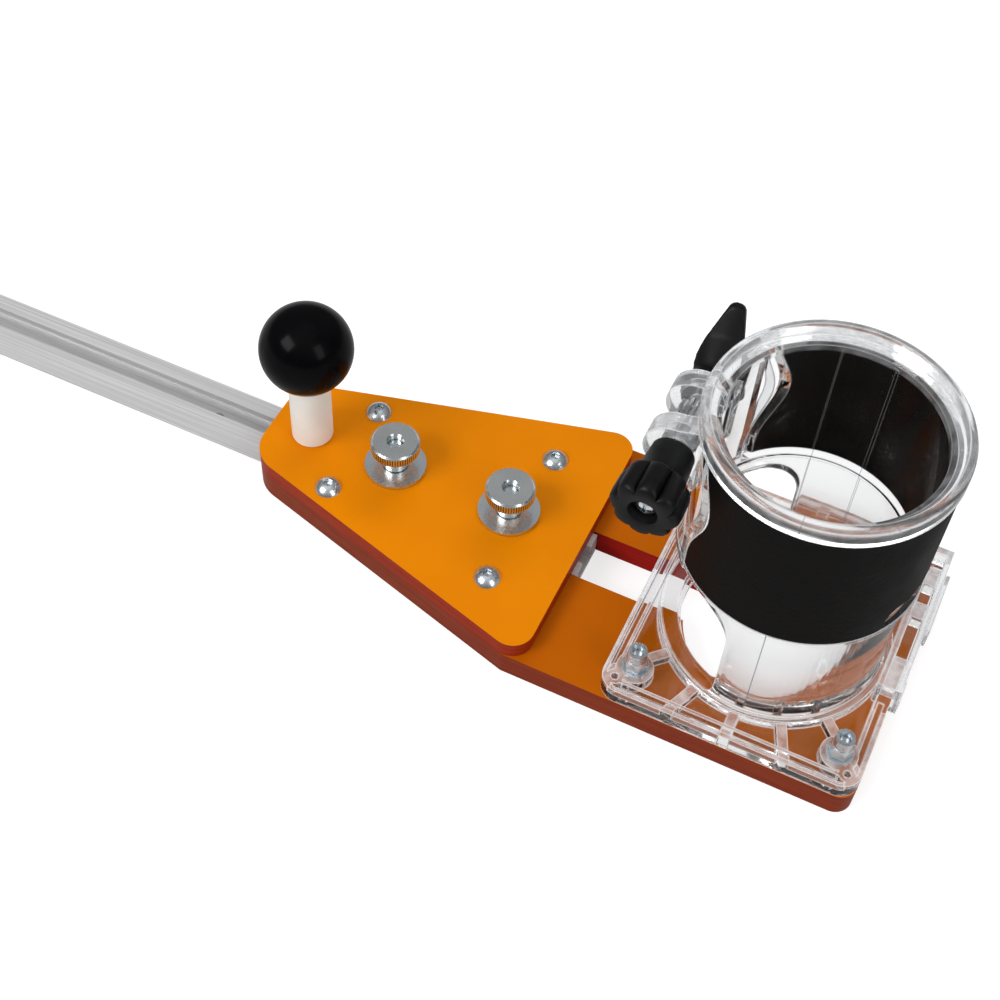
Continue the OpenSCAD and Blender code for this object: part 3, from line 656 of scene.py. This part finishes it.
# ---------------------------------------------------------------------------
# Grip sleeve: a soft black rubber skin round the barrel, slipped on or bonded,
# cut away in an S curve at the split and the window, with a leathery grain.
# ---------------------------------------------------------------------------
finish, tree, shader = plain_finish("black_rubber")
patches = grain(tree, 60, detail=5)
tree.links.new(
    tones(tree, patches, [(0.3, (0.0030, 0.0027, 0.0025)), (0.7, (0.0065, 0.0058, 0.0055))]),
    shader.inputs["Base Color"],
)
tree.links.new(spread(tree, patches, 0.5, 0.66), shader.inputs["Roughness"])
shader.inputs["Specular IOR Level"].default_value = 0.06
creases = relief(tree, shader, grain(tree, 420, stretch=(1, 1, 1.6), detail=7), 0.0003, 0.3)
pores = tree.nodes.new("ShaderNodeTexVoronoi")
pores.inputs["Scale"].default_value = 330
place = tree.nodes.new("ShaderNodeTexCoord")
tree.links.new(place.outputs["Object"], pores.inputs["Vector"])
pitted = spread(tree, pores.outputs["Distance"], 0, 1, 0.05, 0.22)
relief(tree, shader, pitted, 0.0002, 0.35, creases)
dress("grip_sleeve", finish)

# ---------------------------------------------------------------------------
# Depth knob and wing nut: moulded of black plastic with a fine matt grain.
# The knob is screwed to the drive's shaft, the wing nut turns on its thread.
# ---------------------------------------------------------------------------
finish, tree, shader = plain_finish("moulded_black")
shade = grain(tree, 80, detail=4)
tree.links.new(
    tones(tree, shade, [(0.3, (0.0025, 0.0025, 0.0027)), (0.7, (0.006, 0.006, 0.0062))]),
    shader.inputs["Base Color"],
)
tree.links.new(spread(tree, shade, 0.38, 0.52), shader.inputs["Roughness"])
shader.inputs["Specular IOR Level"].default_value = 0.2
relief(tree, shader, grain(tree, 2200, detail=4), 0.00005, 0.35)


def rings_to_shell(name, rings):
    """A closed shell through rings of points, an array of ring by point by xyz.

    Each ring is joined to the next by four-sided faces; the first and last are closed by one face.
    """
    count, around = rings.shape[:2]
    spots = np.arange(count * around).reshape(count, around)
    next_spots = np.roll(spots, -1, 1)
    sides = np.stack([spots[:-1], next_spots[:-1], next_spots[1:], spots[1:]], -1).reshape(-1, 4)
    faces = sides.tolist() + [spots[0, ::-1].tolist(), spots[-1].tolist()]
    mesh = bpy.data.meshes.new(name)
    mesh.from_pydata(rings.reshape(-1, 3).tolist(), [], faces)
    return mesh


def shells_to_piece(name, meshes, finish, sharp=35):
    """One piece of several closed shells, facing outwards; edges over the sharp angle stay crisp."""
    whole = bmesh.new()
    for mesh in meshes:
        whole.from_mesh(mesh)
    bmesh.ops.recalc_face_normals(whole, faces=whole.faces)
    joined_mesh = bpy.data.meshes.new(name)
    whole.to_mesh(joined_mesh)
    whole.free()
    joined_mesh.shade_smooth()
    joined_mesh.set_sharp_from_angle(angle=math.radians(sharp))
    joined_mesh.materials.append(finish)
    piece = bpy.data.objects.new(name, joined_mesh)
    bpy.context.collection.objects.link(piece)
    return piece


# The knob: a collar that widens into eight rounded finger lobes, with a
# recess for its screw. Along the shaft each ring has a plain radius and a lobe height.
shaft_x, shaft_z = -0.042, 0.096
knob_steps = np.array(
    [
        # along, radius, lobe, all in mm
        (12.9, 3.0, 0), (12.9, 6.3, 0), (13.3, 6.8, 0), (18.5, 7.2, 0), (24.6, 7.7, 0), (25.0, 8.0, 0),
        (25.1, 8.9, 0.1), (25.5, 9.3, 0.6), (26.3, 9.5, 1.0), (28.0, 9.6, 1.3), (34.0, 9.7, 1.4),
        (35.9, 9.6, 1.3), (36.9, 9.3, 1.0), (37.5, 8.8, 0.6), (37.78, 8.1, 0.2), (37.8, 7.4, 0),
        (37.7, 5.3, 0), (37.4, 4.7, 0), (36.6, 4.5, 0), (33.85, 4.4, 0), (33.8, 3.4, 0),
    ]
)
lobe_count, points_round = 8, 144
turn = np.linspace(0, 2 * math.pi, points_round, endpoint=False)
lobes = np.sqrt(np.abs(np.cos(lobe_count / 2 * turn))) * 2 - 1
radius = (knob_steps[:, 1:2] + knob_steps[:, 2:3] * lobes) / 1000
knob_rings = np.stack(
    [
        shaft_x + radius * np.cos(turn),
        np.repeat(-knob_steps[:, :1] / 1000, len(turn), 1),
        shaft_z + radius * np.sin(turn),
    ],
    -1,
)
knob = shells_to_piece("finger_knob", [rings_to_shell("knob_shell", knob_rings)], finish)
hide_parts("depth_knob")
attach(knob, "depth_drive")

# The wing nut: a short hub with two paddles that are as wide as the hub at
# their root, thin out to the tip and lean away from the barrel.
hub = np.array(
    [
        (14.1, 3.1), (14.1, 6.9), (14.5, 7.3), (19.0, 6.9), (24.4, 6.2), (25.0, 5.7), (25.1, 3.1),
    ]
)
hub_rings = np.stack(
    [
        shaft_x + hub[:, 1:] / 1000 * np.cos(turn),
        np.repeat(hub[:, :1] / 1000, len(turn), 1),
        shaft_z + hub[:, 1:] / 1000 * np.sin(turn),
    ],
    -1,
)
wing_shells = [rings_to_shell("hub_shell", hub_rings)]
# Along the middle of a wing: place along the shaft, height over it, half depth
# across the wing and half width along the rail, all in mm.
paddle = np.array(
    [
        (18.6, 2.2, 3.2, 6.2), (19.4, 4.0, 4.3, 6.9), (21.0, 6.0, 4.3, 7.2), (23.4, 8.0, 4.1, 6.9),
        (26.0, 10.0, 3.7, 6.1), (28.6, 12.2, 3.4, 5.0), (31.0, 14.6, 3.1, 4.0), (33.0, 16.7, 2.7, 3.1),
        (34.0, 17.9, 2.3, 2.6), (34.5, 18.5, 1.6, 2.0), (34.8, 18.9, 0.6, 1.0),
    ]
)
paddle_rings = 41
fine_steps = np.linspace(0, len(paddle) - 1, paddle_rings)
paddle = np.stack([np.interp(fine_steps, range(len(paddle)), column) for column in paddle.T], -1)
run = np.gradient(paddle[:, :2], axis=0)
run /= np.linalg.norm(run, axis=1)[:, None]
lap = np.linspace(0, 2 * math.pi, 48, endpoint=False)
squareness = 0.7
wide = np.sign(np.cos(lap)) * np.abs(np.cos(lap)) ** squareness
deep = np.sign(np.sin(lap)) * np.abs(np.sin(lap)) ** squareness
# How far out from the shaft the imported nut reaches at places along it, in mm. The
# paddles stay within that, so that they still turn past the rim.
reach_out, reach_high = (14.1, 17.6, 26.1, 32.7, 37.0), (7.3, 6.9, 11.8, 20.2, 17.7)
for side in (1, -1):
    out = paddle[:, 0:1] - paddle[:, 2:3] * run[:, 1:2] * deep
    high = paddle[:, 1:2] + paddle[:, 2:3] * run[:, 0:1] * deep
    across = paddle[:, 3:4] * wide
    squeeze = np.minimum(1, np.interp(out, reach_out, reach_high) / np.hypot(across, high))
    wing = np.stack(
        [
            shaft_x + across * squeeze / 1000,
            out / 1000,
            shaft_z + side * high * squeeze / 1000,
        ],
        -1,
    )
    wing_shells.append(rings_to_shell("wing_shell", wing))
wings = shells_to_piece("winged_nut", wing_shells, finish)
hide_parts("wing_nut")
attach(wings, "wing_nut")
